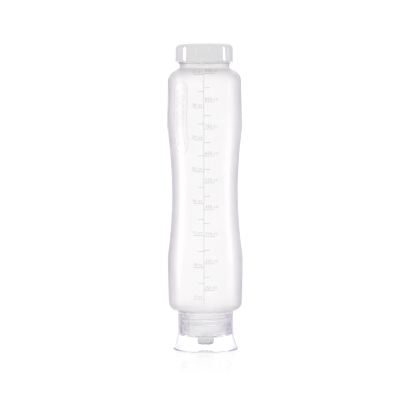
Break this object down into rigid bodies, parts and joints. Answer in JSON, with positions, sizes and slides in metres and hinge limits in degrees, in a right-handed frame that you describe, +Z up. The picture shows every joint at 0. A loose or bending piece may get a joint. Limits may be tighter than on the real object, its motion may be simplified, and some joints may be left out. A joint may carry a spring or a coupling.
{
  "type": "inverted squeeze dispenser bottle",
  "caption": "Waisted translucent squeeze bottle that stands spout down in a clear flared cover, with a ribbed refill cap and a slit-valve dispensing cap.",
  "frame": {"origin": "centre of the base cover's foot, on the table", "axes": "+Z up along the bottle's axis; -Y is the front, where the printed scale is"},
  "size_m": [0.0751, 0.0752, 0.305],
  "materials": {
    "clear_cover": "clear polypropylene, glossy",
    "translucent_bottle": "natural polyethylene, translucent, satin gloss",
    "frosted_cap": "natural polypropylene, frosted",
    "white_cap": "white polypropylene, semi-gloss",
    "silicone": "soft translucent silicone",
    "seal_foam": "white sealing foam"
  },
  "bodies": {
    "base_cover": {"base_cover": "clear_cover"},
    "dispensing_head": {"dispensing_cap": "frosted_cap", "silicone_valve": "silicone", "valve_retainer_ring": "frosted_cap"},
    "dispensing_seal": {"dispensing_seal": "seal_foam"},
    "bottle": {"bottle_body": "translucent_bottle"},
    "refill_seal": {"refill_seal": "seal_foam"},
    "refill_cap": {"refill_cap": "white_cap"}
  },
  "joints": [
    {"name": "cover_pull_off", "type": "slide", "parent": "base_cover", "child": "dispensing_head", "axis": [0, 0, 1], "range_m": [0, 0.05]},
    {"name": "bottle_unscrew_turn", "type": "hinge", "parent": "dispensing_head", "child": "dispensing_seal", "pos_m": [0, 0, 0.0183], "axis": [0, 0, 1], "range_deg": [0, 1800]},
    {"name": "bottle_unscrew_lift", "type": "slide", "parent": "dispensing_seal", "child": "bottle", "axis": [0, 0, 1], "range_m": [0, 0.02]},
    {"name": "refill_cap_lift", "type": "slide", "parent": "bottle", "child": "refill_seal", "axis": [0, 0, 1], "range_m": [0, 0.018]},
    {"name": "refill_cap_turn", "type": "hinge", "parent": "refill_seal", "child": "refill_cap", "pos_m": [0, 0, 0.3022], "axis": [0, 0, 1], "range_deg": [0, 1620]}
  ],
  "couplings": [
    {"joint": "bottle_unscrew_lift", "follows": "bottle_unscrew_turn", "m_per_rad": 0.00063662},
    {"joint": "refill_cap_lift", "follows": "refill_cap_turn", "m_per_rad": 0.00063662}
  ]
}
